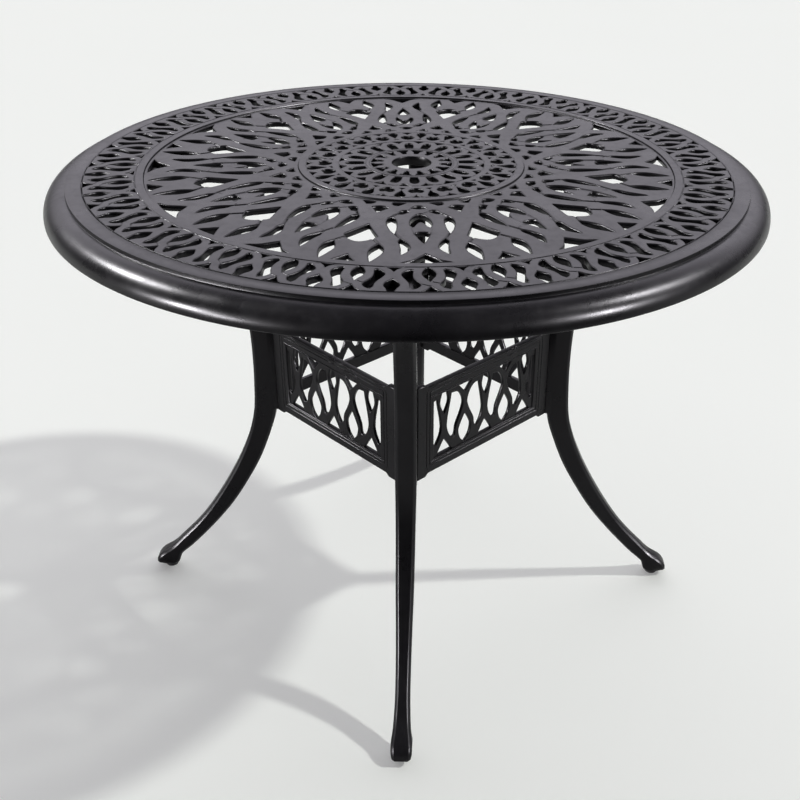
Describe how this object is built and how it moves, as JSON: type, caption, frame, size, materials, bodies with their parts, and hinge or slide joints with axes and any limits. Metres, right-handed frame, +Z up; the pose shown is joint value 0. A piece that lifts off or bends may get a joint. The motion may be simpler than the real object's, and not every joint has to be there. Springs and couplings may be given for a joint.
{
  "type": "umbrella table",
  "caption": "Round cast-aluminium patio dining table with an openwork top, a centre umbrella hole, C-shaped legs and an openwork apron.",
  "frame": {"origin": "on the floor, under the middle of the umbrella hole", "axes": "+Z up along the umbrella hole; -Y towards the front leg of the picture, +X towards the right leg"},
  "size_m": [1.044, 1.044, 0.758],
  "materials": {
    "cast_paint": "satin charcoal powder coat on cast aluminium",
    "brace_paint": "satin charcoal powder coat on bent steel",
    "bolt_steel": "zinc plated",
    "glide_nylon": "matte black nylon"
  },
  "bodies": {
    "table": {"rim": "cast_paint", "border_lattice": "cast_paint", "petal_field": "cast_paint", "medallion": "cast_paint", "leg_front": "cast_paint", "corner_brace_front": "brace_paint", "leg_bolt_front_1": "bolt_steel", "leg_bolt_front_2": "bolt_steel", "top_bolt_front_1": "bolt_steel", "top_bolt_front_2": "bolt_steel", "top_bolt_front_3": "bolt_steel", "apron_panel_front_right": "cast_paint", "panel_screw_front_right_1": "bolt_steel", "panel_screw_front_right_2": "bolt_steel", "leg_right": "cast_paint", "corner_brace_right": "brace_paint", "leg_bolt_right_1": "bolt_steel", "leg_bolt_right_2": "bolt_steel", "top_bolt_right_1": "bolt_steel", "top_bolt_right_2": "bolt_steel", "top_bolt_right_3": "bolt_steel", "apron_panel_right_back": "cast_paint", "panel_screw_right_back_1": "bolt_steel", "panel_screw_right_back_2": "bolt_steel", "leg_back": "cast_paint", "corner_brace_back": "brace_paint", "leg_bolt_back_1": "bolt_steel", "leg_bolt_back_2": "bolt_steel", "top_bolt_back_1": "bolt_steel", "top_bolt_back_2": "bolt_steel", "top_bolt_back_3": "bolt_steel", "apron_panel_back_left": "cast_paint", "panel_screw_back_left_1": "bolt_steel", "panel_screw_back_left_2": "bolt_steel", "leg_left": "cast_paint", "corner_brace_left": "brace_paint", "leg_bolt_left_1": "bolt_steel", "leg_bolt_left_2": "bolt_steel", "top_bolt_left_1": "bolt_steel", "top_bolt_left_2": "bolt_steel", "top_bolt_left_3": "bolt_steel", "apron_panel_left_front": "cast_paint", "panel_screw_left_front_1": "bolt_steel", "panel_screw_left_front_2": "bolt_steel"},
    "glide_front": {"foot_glide_front": "glide_nylon"},
    "glide_right": {"foot_glide_right": "glide_nylon"},
    "glide_back": {"foot_glide_back": "glide_nylon"},
    "glide_left": {"foot_glide_left": "glide_nylon"}
  },
  "joints": [
    {"name": "glide_front_screw_out", "type": "slide", "parent": "table", "child": "glide_front", "axis": [0, 0, -1], "range_m": [0, 0.012]},
    {"name": "glide_right_screw_out", "type": "slide", "parent": "table", "child": "glide_right", "axis": [0, 0, -1], "range_m": [0, 0.012]},
    {"name": "glide_back_screw_out", "type": "slide", "parent": "table", "child": "glide_back", "axis": [0, 0, -1], "range_m": [0, 0.012]},
    {"name": "glide_left_screw_out", "type": "slide", "parent": "table", "child": "glide_left", "axis": [0, 0, -1], "range_m": [0, 0.012]}
  ]
}
